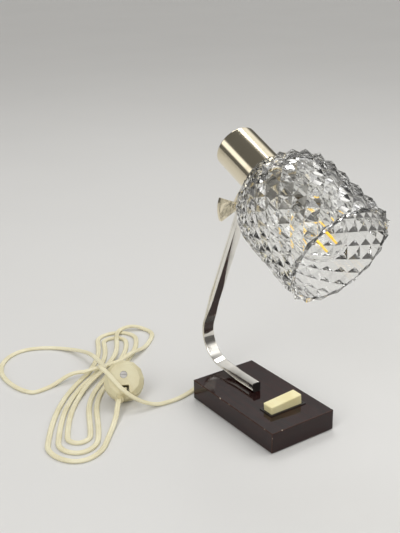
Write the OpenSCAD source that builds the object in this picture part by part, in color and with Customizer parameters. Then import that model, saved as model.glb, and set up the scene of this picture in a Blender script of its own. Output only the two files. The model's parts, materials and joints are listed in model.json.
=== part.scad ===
// Desk lamp: lacquered base with a rocker switch, bent tube arm, tilting head with a pressed glass shade.
// Frame: origin under the middle of the base on the table, +Z up, front of the lamp towards -Y.

/* [Base] */
// Width of the base block
base_w = 70; // [62:1:90]
// Length of the base block from front to back
base_l = 120; // [112:1:150]
// Height of the wooden block
base_h = 19.5; // [19.5:0.5:26]
// Rounding of the block's edges
base_edge = 0.8; // [0.4:0.1:1.6]
// Thickness of the felt under the block
felt_t = 1; // [0.6:0.1:2]
// Width of the pocket in the underside
pocket_w = 48; // [46:1:52]
// Length of the pocket in the underside
pocket_l = 96; // [94:1:100]
// Wood left over the pocket
roof_t = 5.5; // [5:0.25:6]
// Thickness of the bottom plate
cover_t = 2; // [1.5:0.1:2.4]
// Ledge on which the bottom plate is screwed
ledge = 4; // [3.6:0.1:5]
// Thickness of the ballast plate
ballast_t = 6; // [3:0.5:7]
// Length of the ballast plate
ballast_l = 48; // [40:1:54]

/* [Arm] */
// Width of the tube
arm_w = 8; // [7.6:0.1:9]
// Depth of the tube
arm_t = 9; // [8.5:0.1:10]
// Width of the tube where it is flattened in the bend
bend_w = 11.5; // [10:0.5:13]
// Depth of the tube where it is flattened in the bend
bend_t = 5; // [4:0.25:6]
// Wall of the tube
arm_wall = 1; // [0.8:0.1:1.2]
// Radius of the bend on its inner side
bend_r = 25; // [22:1:28]
// Lean of the upper tube from upright
arm_lean = 24; // [18:1:30]
// Length of the foot of the tube from its front end to the bend
foot_l = 50; // [46:1:54]
// Length of the foot before the tube begins to flatten
straight_l = 23; // [22:0.5:26]
// Length over which the upper tube gets back its full section
up_ease = 30; // [24:1:36]
// Place of the bend's centre behind the middle of the base
bend_y = 57.5; // [54:0.5:58]
// Length of the upper tube
upper_l = 131; // [110:1:150]
// Distance from the end of the tube to the pivot
lug_l = 12.3; // [11:0.1:14]

/* [Pivot] */
// Radius of the pivot screw's shank
pin_r = 2.5; // [2:0.1:3]
// Running clearance round the shank
pin_gap = 0.06; // [0.03:0.01:0.09]
// Half thickness of the eye on the arm
lug_half = 3.8; // [3.4:0.1:3.9]
// Radius of the eye on the arm
lug_r = 6.4; // [5.5:0.1:6.8]
// Thickness of each friction washer
washer_t = 0.8; // [0.6:0.1:1.2]
// Thickness of the fork's sheet
fork_t = 1.6; // [1.2:0.1:2]
// Radius of the fork's eyes
fork_r = 6.8; // [6:0.1:7.5]
// Gap between faces that turn on one another
face_gap = 0.1; // [0.05:0.05:0.2]

/* [Thumb screw] */
// Reach of the leaf from the middle of the pivot
leaf_reach = 27.7; // [24:0.1:30]
// Half of the leaf's fan angle
leaf_angle = 23; // [16:1:26]
// Thickness of the leaf
leaf_t = 3; // [2.4:0.1:4]
// Depth of the finger hollow
leaf_dish = 0.6; // [0.3:0.1:0.8]

/* [Head] */
// Downward slant of the head's axis
head_tilt = 24.3; // [10:0.1:40]
// Distance from the pivot to the head's axis
head_off = 40.5; // [40:0.5:44]
// Distance from the pivot to the glass collar along the axis
head_back = 14; // [12:0.5:16]
// Outer radius of the cup
cup_r = 20; // [19:0.1:20]
// Length of the cup
cup_l = 44.4; // [42:0.1:46]
// Wall of the cup
cup_wall = 0.8; // [0.6:0.1:1]
// Rounding of the cup's closed end
cup_edge = 1; // [1:0.25:3]

/* [Glass shade] */
// Length of the shade from collar to mouth
shade_l = 103; // [98:1:108]
// Radius of the glass collar
collar_r = 21; // [20.5:0.1:22]
// Radius of the hollow between the studs at the end of the dome
body_r = 45; // [44:0.5:47]
// Growth of that radius up to the mouth
flare = 1; // [0:0.25:2]
// Radius of the dome's curve
dome_r = 38; // [36:0.5:39]
// Height of the diamond studs
stud_h = 3; // [0:0.1:3.4]
// Diamonds round the shade
studs_round = 18; // [16:1:24]
// Half rows of diamonds along the shade
stud_rows = 13; // [11:1:18]
// Thickness of the glass under the studs
glass_t = 3.6; // [3:0.1:4.5]
// Clearance of the collar hole round the lampholder
collar_gap = 0.6; // [0.4:0.1:1]

/* [Lampholder and bulb] */
// Radius of the lampholder's threaded foot
holder_r = 14; // [13.5:0.1:14.2]
// Radius of the lampholder's sleeve
sleeve_r = 12; // [11:0.1:12.5]
// Reach of the sleeve beyond the collar
sleeve_reach = 42; // [40:1:44]
// Radius of the bulb's screw cap
cap_r = 6.9; // [6.7:0.1:7]
// Radius of the bulb's globe
globe_r = 22.5; // [20:0.5:23]
// Place of the globe's centre beyond the collar
globe_at = 76; // [74:0.5:78]
// Thickness of the globe's glass
globe_t = 0.8; // [0.6:0.1:1]
// Length of a light strip
strip_l = 28; // [20:1:30]
// Distance of the light strips from the axis
strip_off = 7; // [5:0.5:9]

/* [Rocker switch] */
// Length of the key
key_l = 35; // [32:0.5:36]
// Width of the key
key_w = 12; // [11:0.5:13]
// Height of the key over the base
key_h = 8.5; // [6:0.5:10]
// Tilt of the key at rest
key_tilt = 4; // [2:0.5:4]
// Place of the switch to the right of the middle
key_x = 2.2; // [0:0.1:3]
// Place of the switch before the middle
key_y = -29; // [-32:0.5:-28]
// Gap round the key
key_gap = 0.5; // [0.5:0.05:0.7]
// Wall of the switch housing
house_wall = 1; // [0.8:0.1:1.2]
// Width of the rim on the base round the housing
rim_w = 0.8; // [0.6:0.1:1.5]
// Thickness of that rim
rim_t = 0.8; // [0.6:0.1:1.2]
// Radius of the key's pivot pin
key_pin_r = 1.2; // [1:0.1:1.3]

/* [Cord and plug] */
// Width of the flat cord
cord_w = 5; // [4.4:0.1:5.2]
// Thickness of the flat cord
cord_t = 2.8; // [2.4:0.1:3]
// Radius of the plug
plug_r = 19.2; // [18.5:0.1:19.5]
// Thickness of the plug's face half
plug_face_t = 5; // [4:0.5:6]
// Thickness of the plug's back half
plug_back_t = 11; // [11:0.5:12]
// Radius of the plug's contact pins
prong_r = 2.4; // [2:0.1:2.4]
// Length of the plug's contact pins
prong_l = 19; // [18:0.5:20]
// Spacing of the plug's contact pins
prong_gap = 19; // [18:0.5:20]

/* [Hidden] */
$fn = 64;
base_top = felt_t + base_h;
pocket_top = base_top - roof_t;
cover_top = felt_t + cover_t;
fit = 0.1;
easy = 0.2;
tiny = 0.01;

// Arm line: the front face of the tube, from the foot to the pivot.
foot_top = base_top + arm_t;
bend_c = [bend_y, foot_top + bend_r];
bend_turn = 90 + arm_lean;
bend_len = bend_r * bend_turn * PI / 180;
up_dir = [-sin(arm_lean), cos(arm_lean)];
up_out = [cos(arm_lean), sin(arm_lean)];
bend_end = bend_c + bend_r * up_out;
pivot_yz = bend_end + arm_t / 2 * up_out + (upper_l + lug_l) * up_dir;
pivot = [0, pivot_yz[0], pivot_yz[1]];
foot_front = bend_y - foot_l;

// Head frame: local Z runs along the axis to the mouth, local Y away from the pivot.
head_z = [0, -cos(head_tilt), -sin(head_tilt)];
head_y = [0, -sin(head_tilt), cos(head_tilt)];
head_at = pivot + head_off * head_y + head_back * head_z;
washer_in = lug_half + face_gap;
ear_in = washer_in + washer_t;
ear_out = ear_in + fork_t;
saddle_s0 = -17;
saddle_s1 = -3;
saddle_gap = 0.05;

// Shade profile: a dome arc and a slightly flared barrel, walked by length.
dome_neck = 2;
dome_at = dome_r + dome_neck;
dome_in = body_r - dome_r;
dome_a0 = acos((collar_r - dome_in) / dome_r);
dome_len = dome_r * dome_a0 * PI / 180;
barrel_len = shade_l - dome_at;
walk_len = dome_len + barrel_len;
collar_h = dome_at - dome_r * sin(dome_a0);

// Rocker place
key_sink = 1;
key_pivot_z = base_top - key_sink;
house_l = key_l + 2 * key_gap + 2 * house_wall;
house_w = key_w + 2 * key_gap + 2 * house_wall;
house_depth = 13.5;
house_low = base_top - house_depth;
house_floor_t = 1.5;
house_floor = house_low + house_floor_t;
key_low = 2;

// Plug place: rests on its rim and on its pin tips.
plug_lean = atan(prong_l / (plug_r - prong_r));
plug_t = plug_face_t + plug_back_t;
plug_turn = -28;
floor_gap = 0.05;
plug_at = [-86, 104.5, plug_r * sin(plug_lean) + floor_gap];
bevel_h = 4.5;
bevel_in = 4;
entry_turn = 255;
entry_r = plug_r - bevel_in / 2;
entry_z = plug_t - bevel_h / 2;
boss_r = 4.2;
boss_l = 5;
entry_lead = 9;

// Cord exit and the free lead's route, which climbs over the tilted plug
exit_z = 8.5;
bush_l = 3;
floor_z = cord_t / 2 + floor_gap;
lead_route = [
    [0, 40, 8.5], [0, 52, 8.5], [0, 64, 8.5], [-3, 71, 7], [-11, 75, 5], [-22, 73, 3], [-34, 70, 1.5],
    [-48, 67, 1.5], [-60, 67, 1.5], [-71, 68, 2.5], [-82, 71, 6.5], [-92, 76.5, 13], [-98, 84, 19],
    [-102, 92, 25.5], [-105, 100, 32], [-107, 109, 35], [-104, 118, 31.5], [-97, 128, 24], [-88, 139, 17]
];
tail_route = [[-136, 46, 1.5], [-125, 57.5, 2.8], [-115, 68.5, 6.5]];

// Hank loops: heading, length, radius of the far end, offset at the waist before and after, raised stretches.
// A raised stretch has its middle, half its length and its height.
waist = [-84, 150];
layer = 3.4;
rise = 0.12;
loops = [
    [131, 110, 50, 0, 0, [[0, 0.28, 3 * layer], [1, 0.24, 2 * layer]]],
    [42, 112, 19, 0, 3.2, [[0, 0.26, 2 * layer], [0.78, 0.36, layer]]],
    [229, 126, 10, 3.2, 3.2, [[0, 0.17, layer]]],
    [56, 91, 11, 3.2, 9.4, []],
    [229, 141, 17.5, 9.4, 9.4, []],
    [54, 104, 19.5, 9.4, 17, []],
    [229, 153, 26, 17, 17, []]
];
loop_rings = 24;
last_end = 0.67;

// Slow sideways bow of the loops, by their place on the floor
bow_h = [6, -6];
bow_len = [150, 150];

// Small helpers
function unit(v) = v / norm(v);
function ease(x) = let(c = max(0, min(1, x))) c * c * (3 - 2 * c);
function mix(a, b, t) = a + (b - a) * t;
function raised(t, h) = h[2] * ease((h[1] - abs(t - h[0])) / rise);
function sum(v, i = 0) = i < len(v) ? v[i] + sum(v, i + 1) : 0;

// Curve through route points
function curve_at(a, b, c, d, t) = 0.5 * (2 * b + (c - a) * t + (2 * a - 5 * b + 4 * c - d) * t * t
    + (3 * b - a - 3 * c + d) * t * t * t);
function curve(p, n) = let(m = len(p) - 1) [
    for (i = [0 : m - 1], k = [0 : n - 1])
        curve_at(p[max(i - 1, 0)], p[i], p[i + 1], p[min(i + 2, m)], k / n),
    p[m]
];

// Flat tube swept along points: the section stays level across.
function flat_section(w, t) = [
    [w / 2, 0], [w * 0.32, t / 2], [-w * 0.32, t / 2], [-w / 2, 0], [-w * 0.32, -t / 2], [w * 0.32, -t / 2]
];
function ahead(p, i, last) = i == len(p) - 1 ? last : unit(p[i + 1] - p[max(i - 1, 0)]);
function tube_points(p, sec, last) = [
    for (i = [0 : len(p) - 1])
        let(d = ahead(p, i, last), side = unit(cross(d, [0, 0, 1])), top = cross(side, d))
        for (q = sec) p[i] + q[0] * side + q[1] * top
];
function tube_faces(n, m) = concat(
    [for (j = [1 : m - 2]) [0, j, j + 1]],
    [for (j = [1 : m - 2]) [(n - 1) * m, (n - 1) * m + j + 1, (n - 1) * m + j]],
    [for (i = [0 : n - 2], j = [0 : m - 1]) [i * m + j, (i + 1) * m + j, (i + 1) * m + (j + 1) % m]],
    [for (i = [0 : n - 2], j = [0 : m - 1]) [i * m + j, (i + 1) * m + (j + 1) % m, i * m + (j + 1) % m]]
);

module flat_tube(p, last) {
    sec = flat_section(cord_w, cord_t);
    polyhedron(tube_points(p, sec, last), tube_faces(len(p), len(sec)), convexity = 10);
}

// Cord lines
function loop_along(l, t) = (l[1] - l[2]) * (t < 1 / 3 ? 3 * t : t < 2 / 3 ? 1 : 3 - 3 * t)
    + (t < 1 / 3 || t > 2 / 3 ? 0 : l[2] * cos(180 * (3 * t - 1) - 90));
function swell(x) = mix(x, ease(x), x);
function loop_side(l, t) = t < 1 / 3 ? -mix(l[3], l[2], swell(3 * t))
    : t < 2 / 3 ? l[2] * sin(180 * (3 * t - 1) - 90)
    : mix(l[4], l[2], swell(3 - 3 * t));
function bowed(p) = p + [
    bow_h[0] * sin(360 * (p[1] - waist[1]) / bow_len[0]), bow_h[1] * sin(360 * (p[0] - waist[0]) / bow_len[1])
];
function loop_at(l, t) = let(
    u = [cos(l[0]), sin(l[0])],
    v = [-sin(l[0]), cos(l[0])],
    xy = bowed(waist + loop_along(l, t) * u + loop_side(l, t) * v),
    z = floor_z + sum([for (h = l[5]) raised(t, h)])
) [xy[0], xy[1], z];
function plug_point(p) = let(
    y = p[1] * cos(plug_lean) - p[2] * sin(plug_lean),
    z = p[1] * sin(plug_lean) + p[2] * cos(plug_lean)
) plug_at + [p[0] * cos(plug_turn) - y * sin(plug_turn), p[0] * sin(plug_turn) + y * cos(plug_turn), z];
function entry_point(d) = let(r = entry_r + d * sin(45))
    plug_point([r * cos(entry_turn), r * sin(entry_turn), entry_z + d * cos(45)]);
last_loop = len(loops) - 1;
hank_loops = [
    for (k = [0 : last_loop], i = [0 : loop_rings - 1])
        let(t = (i + (k == 0 ? 1 : 0.5)) / loop_rings)
        if (k < last_loop || t < last_end) loop_at(loops[k], t)
];
hank_n = len(hank_loops);
tail_line = curve(concat(
    [hank_loops[hank_n - 2], hank_loops[hank_n - 1]], tail_route,
    [entry_point(boss_l + entry_lead), entry_point(boss_l)]
), 3);
plug_dir = unit(entry_point(0) - entry_point(10));
hank_line = concat(hank_loops, [for (i = [4 : len(tail_line) - 1]) tail_line[i]]);
hank_start = unit(hank_line[1] - hank_line[0]);
lead_line = concat(curve(concat(lead_route, [hank_line[0] - 6 * hank_start]), 3), [hank_line[0]]);

// Length of the cord, and its least gap to itself on points
function line_len(p) = sum([for (i = [1 : len(p) - 1]) norm(p[i] - p[i - 1])]);
function finer(p) = [for (i = [0 : len(p) - 2], k = [0 : 2]) mix(p[i], p[i + 1], k / 3)];
function box_gap(a, b) = max(norm([a[0] - b[0], a[1] - b[1]]) - cord_w, abs(a[2] - b[2]) - cord_t);
function own_gap(p, skip) = min([
    for (i = [0 : len(p) - 1 - skip]) min([for (j = [i + skip : len(p) - 1]) box_gap(p[i], p[j])])
]);
cord_points = finer(concat(lead_line, hank_line));
echo(cord_length = line_len(lead_line) + line_len(hank_line));
echo(least_gap = own_gap(cord_points, 12));

// Places
module on_head() {
    translate(head_at) rotate([90 + head_tilt, 0, 0]) children();
}

module on_pivot() {
    translate(pivot) rotate([0, 90, 0]) children();
}

module on_plug() {
    translate(plug_at) rotate([0, 0, plug_turn]) rotate([plug_lean, 0, 0]) children();
}

module in_yz(half) {
    rotate([90, 0, 90]) linear_extrude(2 * half, center = true) children();
}

module box(x, y, z0, z1) {
    translate([-x / 2, -y / 2, z0]) cube([x, y, z1 - z0]);
}

module soft_rect(x, y, r) {
    union() {
        square([x - 2 * r, y], center = true);
        square([x, y - 2 * r], center = true);
        for (i = [-1, 1], j = [-1, 1]) translate([i * (x / 2 - r), j * (y / 2 - r)]) circle(r);
    }
}

// Base
cover_screw_r = 0.9;
cover_head_r = 1.5;
cover_head_h = 0.8;
cover_screw_l = 7;
screw_x = pocket_w / 2 + ledge / 2;
screw_in = 8;
screw_y = pocket_l / 2 - screw_in;
module at_corners() {
    for (i = [-1, 1], j = [-1, 1]) translate([i * screw_x, j * screw_y, 0]) children();
}

stem_l = 7;
bar_front = foot_front + stem_l + easy;
bar_back = foot_front + straight_l;
screw_edge = 3.5;
arm_screw_y = [bar_front + screw_edge, bar_back - screw_edge];
arm_screw_r = 1.7;
arm_head_r = 3.6;
arm_head_h = 2.6;
bush_r = 3.9;
clamp_back = 6;
clamp_y = pocket_l / 2 - clamp_back;
clamp_x = 5.6;
clamp_l = 17;
clamp_d = 6;
clamp_top = exit_z - cord_t / 2 - fit;
jaw_low = exit_z + cord_t / 2 + fit;
clamp_screw_r = 1.5;
clamp_screw_l = 8;
clamp_t = 2.2;
clamp_head_r = 2.4;
clamp_head_h = 1.1;
clamp_bite = 4.5;
felt_in = 1.5;
felt_corner = 2;

module base_block() {
    color([0.10, 0.02, 0.015]) difference() {
        intersection() {
            translate([0, 0, felt_t]) linear_extrude(base_h) soft_rect(base_w, base_l, base_edge);
            translate([0, base_l / 2, felt_t + base_h / 2]) rotate([90, 0, 0])
                linear_extrude(base_l) soft_rect(base_w, base_h, base_edge);
            translate([-base_w / 2, 0, felt_t + base_h / 2]) rotate([90, 0, 90])
                linear_extrude(base_w) soft_rect(base_l, base_h, base_edge);
        }
        difference() {
            box(pocket_w, pocket_l, felt_t - 1, pocket_top);
            translate([0, clamp_y, 0]) box(clamp_l, clamp_d, jaw_low, pocket_top + 1);
        }
        box(pocket_w + 2 * ledge, pocket_l + 2 * ledge, felt_t - 1, cover_top);
        translate([key_x, key_y, 0])
            box(house_l + 2 * fit, house_w + 2 * fit, pocket_top - 1, base_top + 1);
        for (y = arm_screw_y) translate([0, y, pocket_top - 1])
            cylinder(r = arm_screw_r + fit, h = roof_t + 2);
        translate([0, base_l / 2 + 1, exit_z]) rotate([90, 0, 0])
            cylinder(r = bush_r + fit, h = (base_l - pocket_l) / 2 + 2);
        at_corners() translate([0, 0, cover_top - 1])
            cylinder(r = cover_screw_r + fit, h = cover_screw_l, $fn = 24);
        for (i = [-1, 1]) translate([i * clamp_x, clamp_y, jaw_low - 1])
            cylinder(r = clamp_screw_r, h = clamp_bite, $fn = 24);
    }
}

module felt_pad() {
    color([0.05, 0.05, 0.05]) linear_extrude(felt_t)
        soft_rect(base_w - 2 * felt_in, base_l - 2 * felt_in, felt_corner);
}

module bottom_plate() {
    color([0.35, 0.34, 0.32]) difference() {
        box(pocket_w + 2 * ledge - 2 * easy, pocket_l + 2 * ledge - 2 * easy, felt_t, cover_top);
        at_corners() translate([0, 0, felt_t - 1])
            cylinder(r = cover_screw_r + fit, h = cover_t + 2, $fn = 24);
        at_corners() translate([0, 0, felt_t - tiny])
            cylinder(r1 = cover_head_r + fit, r2 = cover_screw_r + fit, h = cover_head_h + fit, $fn = 24);
    }
}

module bottom_screws() {
    color([0.6, 0.6, 0.58]) at_corners() union() {
        translate([0, 0, felt_t + tiny])
            cylinder(r1 = cover_head_r, r2 = cover_screw_r, h = cover_head_h, $fn = 24);
        translate([0, 0, felt_t + cover_head_h])
            cylinder(r = cover_screw_r, h = cover_screw_l - cover_head_h, $fn = 24);
    }
}

ballast_y = 10;
ballast_gap = 2;
module ballast_plate() {
    color([0.3, 0.3, 0.3]) translate([0, ballast_y, 0])
        box(pocket_w - 2 * ballast_gap, ballast_l, cover_top, cover_top + ballast_t);
}

// Arm tube: rings across the front line, with the section flattened through the bend.
function arm_frame(d) =
    d < foot_l ? [[foot_front + d, foot_top], [0, -1]]
    : d < foot_l + bend_len ? let(a = -90 + (d - foot_l) / bend_len * bend_turn)
        [bend_c + bend_r * [cos(a), sin(a)], [cos(a), sin(a)]]
    : [bend_end + (d - foot_l - bend_len) * up_dir, up_out];
foot_ease = foot_l - straight_l;
function flat_share(d) = ease((d - straight_l) / foot_ease)
    * ease((foot_l + bend_len + up_ease - d) / up_ease);
function arm_width(d) = mix(arm_w, bend_w, flat_share(d));
function arm_depth(d) = mix(arm_t, bend_t, flat_share(d));
arm_cuts = concat(
    [0],
    [for (i = [0 : 6]) straight_l + i * foot_ease / 7],
    [for (i = [0 : 15]) foot_l + i * bend_len / 16],
    [for (i = [0 : 7]) foot_l + bend_len + i * up_ease / 7],
    [foot_l + bend_len + upper_l]
);
corner_out = 1.3;
corner_in = 0.5;
function arm_ring(d, in) = let(
    f = arm_frame(d), x = arm_width(d) / 2 - in, lo = in, hi = arm_depth(d) - in,
    c = in > 0 ? corner_in : corner_out, k = c * (1 - cos(45))
) [
    for (q = [
        [x - c, lo], [x - k, lo + k], [x, lo + c], [x, hi - c], [x - k, hi - k], [x - c, hi],
        [c - x, hi], [k - x, hi - k], [-x, hi - c], [-x, lo + c], [k - x, lo + k], [c - x, lo]
    ]) let(p = f[0] + q[1] * f[1]) [q[0], p[0], p[1]]
];
ring_n = 12;
function strip(a, b, m) = concat(
    [for (j = [0 : m - 1]) [a + j, b + j, b + (j + 1) % m]],
    [for (j = [0 : m - 1]) [a + j, b + (j + 1) % m, a + (j + 1) % m]]
);
function flip(f) = [for (t = f) [t[0], t[2], t[1]]];

module arm_tube() {
    n = len(arm_cuts);
    pts = concat(
        [for (d = arm_cuts) each arm_ring(d, 0)],
        [for (d = arm_cuts) each arm_ring(d, arm_wall)]
    );
    faces = concat(
        [for (i = [0 : n - 2]) each flip(strip(i * ring_n, (i + 1) * ring_n, ring_n))],
        [for (i = [0 : n - 2]) each strip((n + i) * ring_n, (n + i + 1) * ring_n, ring_n)],
        strip(0, n * ring_n, ring_n),
        flip(strip((n - 1) * ring_n, (2 * n - 1) * ring_n, ring_n))
    );
    color([0.8, 0.8, 0.82]) polyhedron(pts, faces, convexity = 10);
}

plug_stem = [arm_w - 2 * arm_wall - 2 * easy, arm_t - 2 * arm_wall - 2 * easy];
end_cap_t = 1.2;
end_cap_corner = 1.2;
module arm_end_plug() {
    color([0.03, 0.03, 0.03]) translate([0, foot_front, base_top + arm_t / 2]) union() {
        rotate([90, 0, 0]) linear_extrude(end_cap_t) soft_rect(arm_w, arm_t - easy, end_cap_corner);
        translate([-plug_stem[0] / 2, -tiny, -plug_stem[1] / 2]) cube([plug_stem[0], stem_l, plug_stem[1]]);
    }
}

bar_t = 3;
bar_w = arm_w - 2 * arm_wall - 2 * corner_in;
module arm_nut_bar() {
    color([0.5, 0.5, 0.5]) difference() {
        translate([0, (bar_front + bar_back) / 2, 0])
            box(bar_w, bar_back - bar_front, base_top + arm_wall, base_top + arm_wall + bar_t);
        for (y = arm_screw_y) translate([0, y, base_top]) cylinder(r = arm_screw_r, h = arm_wall + bar_t + 1);
    }
}

module arm_screws() {
    color([0.6, 0.6, 0.58]) for (y = arm_screw_y) translate([0, y, 0]) union() {
        translate([0, 0, pocket_top - arm_head_h]) cylinder(r = arm_head_r, h = arm_head_h);
        translate([0, 0, pocket_top - tiny]) cylinder(r = arm_screw_r, h = roof_t + arm_wall + bar_t);
    }
}

lug_flange = 1.6;
lug_step = 0.8;
lug_stem = 14;
module arm_lug() {
    color([0.7, 0.7, 0.72]) translate(pivot) rotate([arm_lean, 0, 0]) difference() {
        union() {
            in_yz(lug_half) union() {
                circle(lug_r);
                translate([-arm_t / 2, -lug_l]) square([arm_t, lug_flange]);
                translate([lug_step - arm_t / 2, -lug_l]) square([arm_t - 2 * lug_step, lug_l]);
            }
            in_yz(plug_stem[0] / 2) translate([-plug_stem[1] / 2, -lug_l - lug_stem])
                square([plug_stem[1], lug_stem + tiny]);
        }
        rotate([0, 90, 0]) cylinder(r = pin_r + pin_gap, h = 4 * lug_half, center = true);
    }
}

// Switch
tab_x = 9;
tab_w = 5;
tab_t = 0.8;
contact_half = 8;
contact_drop = 3.8;
contact_t = 0.8;
contact_w = 5;
contact_low = key_low + contact_drop;
pad_l = 3;
tab_gap = 1;
pad_top = key_pivot_z - contact_low - contact_half * sin(key_tilt) - easy;
module switch_housing() {
    color([0.06, 0.05, 0.05]) translate([key_x, key_y, 0]) difference() {
        union() {
            box(house_l, house_w, house_low, base_top + tiny);
            box(house_l + 2 * rim_w, house_w + 2 * rim_w, base_top, base_top + rim_t);
        }
        box(house_l - 2 * house_wall, house_w - 2 * house_wall, house_floor, base_top + 2);
        for (i = [-1, 1]) translate([i * tab_x, 0, 0])
            box(tab_t + 2 * fit, tab_w + 2 * fit, house_low - 1, house_floor + 1);
        translate([0, 0, key_pivot_z]) rotate([90, 0, 0])
            cylinder(r = key_pin_r, h = house_w + 2, center = true, $fn = 32);
    }
}

module switch_terminals() {
    color([0.78, 0.6, 0.25]) translate([key_x, key_y, 0]) for (i = [-1, 1]) union() {
        translate([i * tab_x, 0, 0]) box(tab_t, tab_w, cover_top + tab_gap, pad_top);
        translate([i * (tab_x - pad_l / 2), 0, 0]) box(pad_l + tab_t, tab_w, pad_top - tab_t, pad_top);
    }
}

module rocker_pin() {
    color([0.6, 0.6, 0.58]) translate([key_x, key_y, key_pivot_z]) rotate([90, 0, 0])
        cylinder(r = key_pin_r, h = house_w, center = true, $fn = 32);
}

module on_key() {
    translate([key_x, key_y, key_pivot_z]) rotate([0, -key_tilt, 0]) children();
}

key_top = key_h + key_sink;
key_round = 1.2;
key_corner = 1.6;
stalk = [7, 6];
module rocker_key() {
    mid = (key_top - key_low) / 2;
    tall = key_top + key_low;
    color([0.9, 0.87, 0.74]) on_key() difference() {
        union() {
            intersection() {
                translate([0, 0, mid]) rotate([90, 0, 0])
                    linear_extrude(key_w, center = true) soft_rect(key_l, tall, key_round);
                translate([0, 0, mid]) rotate([90, 0, 90])
                    linear_extrude(key_l, center = true) soft_rect(key_w, tall, key_round);
                translate([0, 0, -key_low]) linear_extrude(tall) soft_rect(key_l, key_w, key_corner);
            }
            box(stalk[0], stalk[1], contact_t - contact_low, 0);
        }
        rotate([90, 0, 0]) cylinder(r = key_pin_r + pin_gap, h = key_w + 2, center = true, $fn = 32);
    }
}

module rocker_contact() {
    color([0.78, 0.6, 0.25]) on_key() box(2 * contact_half, contact_w, -contact_low, contact_t - contact_low);
}

// Cord entry
bush_in = 4.6;
bush_out = 5.4;
module cord_bush() {
    color([0.9, 0.86, 0.7]) translate([0, base_l / 2, exit_z]) rotate([90, 0, 0]) difference() {
        union() {
            translate([0, 0, -bush_l]) cylinder(r1 = bush_in, r2 = bush_out, h = bush_l, $fn = 48);
            translate([0, 0, -tiny]) cylinder(r = bush_r, h = (base_l - pocket_l) / 2, $fn = 48);
        }
        cube([cord_w + 2 * easy, cord_t + 2 * easy, base_l], center = true);
    }
}

module cord_clamp() {
    color([0.5, 0.5, 0.48]) translate([0, clamp_y, 0]) difference() {
        box(clamp_l, clamp_d, clamp_top - clamp_t, clamp_top);
        for (i = [-1, 1]) translate([i * clamp_x, 0, clamp_top - clamp_t - 1])
            cylinder(r = clamp_screw_r + easy, h = clamp_t + 2, $fn = 24);
    }
}

module clamp_screws() {
    head_top = clamp_top - clamp_t;
    color([0.6, 0.6, 0.58]) for (i = [-1, 1]) translate([i * clamp_x, clamp_y, 0]) union() {
        translate([0, 0, head_top - clamp_head_h]) cylinder(r = clamp_head_r, h = clamp_head_h, $fn = 24);
        translate([0, 0, head_top - fit]) cylinder(r = clamp_screw_r - fit, h = clamp_screw_l, $fn = 24);
    }
}

module cord_lead() {
    color([0.93, 0.9, 0.74]) flat_tube(lead_line, hank_start);
}

module cord_hank() {
    color([0.93, 0.9, 0.74]) flat_tube(hank_line, plug_dir);
}

// Plug
plug_sides = 12;
plug_wall = 5;
plug_roof = 4;
slot_at = [-3.5, -8.5];
slot_w = 2.4;
slot_l = 8;
slot_leg = 5;
slot_d = plug_roof + easy;
plug_screw_y = 4;
plug_screw_r = 1.4;
plug_screw_low = 2;
plug_head_r = 3.4;
plug_head_h = 1.4;
plug_sunk = 1.6;
pillar_r = 4;
pillar_h = 4;
face_edge = 0.6;
prong_tip = 1;
driver_w = 0.8;
driver_d = 0.7;
module plug_back() {
    color([0.9, 0.86, 0.7]) on_plug() difference() {
        union() {
            translate([0, 0, plug_face_t]) cylinder(r = plug_r, h = plug_back_t - bevel_h, $fn = plug_sides);
            translate([0, 0, plug_t - bevel_h])
                cylinder(r1 = plug_r, r2 = plug_r - bevel_in, h = bevel_h, $fn = plug_sides);
            rotate([0, 0, entry_turn]) translate([entry_r, 0, entry_z]) rotate([0, 45, 0])
                translate([0, 0, -boss_l / 2]) cylinder(r = boss_r, h = boss_l * 1.5, $fn = 32);
        }
        translate([0, 0, plug_face_t - 1]) cylinder(r = plug_r - plug_wall, h = plug_back_t - plug_roof + 1);
        translate([slot_at[0], slot_at[1], plug_t - slot_d]) cube([slot_l, slot_w, slot_d + 1]);
        translate([slot_at[0] + slot_l - slot_w, slot_at[1] - slot_leg, plug_t - slot_d])
            cube([slot_w, slot_leg + slot_w / 2, slot_d + 1]);
        translate([0, plug_screw_y, plug_face_t])
            cylinder(r = plug_screw_r + 2 * easy, h = plug_back_t + 1, $fn = 24);
        translate([0, plug_screw_y, plug_t - plug_sunk])
            cylinder(r = plug_head_r + easy, h = plug_sunk + 1, $fn = 24);
    }
}

module plug_face() {
    color([0.9, 0.86, 0.7]) on_plug() difference() {
        union() {
            translate([0, 0, face_edge]) cylinder(r = plug_r, h = plug_face_t - face_edge);
            cylinder(r1 = plug_r - face_edge, r2 = plug_r, h = face_edge + tiny);
            translate([0, plug_screw_y, plug_face_t - tiny]) cylinder(r = pillar_r, h = pillar_h);
        }
        for (i = [-1, 1]) translate([i * prong_gap / 2, 0, -1]) cylinder(r = prong_r, h = plug_face_t + 2);
        translate([0, plug_screw_y, plug_screw_low - fit])
            cylinder(r = plug_screw_r + fit, h = plug_t, $fn = 24);
    }
}

module plug_pins() {
    color([0.78, 0.66, 0.35]) on_plug() for (i = [-1, 1]) translate([i * prong_gap / 2, 0, 0]) union() {
        translate([0, 0, prong_tip - prong_l]) cylinder(r = prong_r, h = prong_l + plug_face_t + prong_tip);
        translate([0, 0, -prong_l]) cylinder(r1 = prong_r - prong_tip, r2 = prong_r, h = prong_tip + tiny);
    }
}

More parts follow.
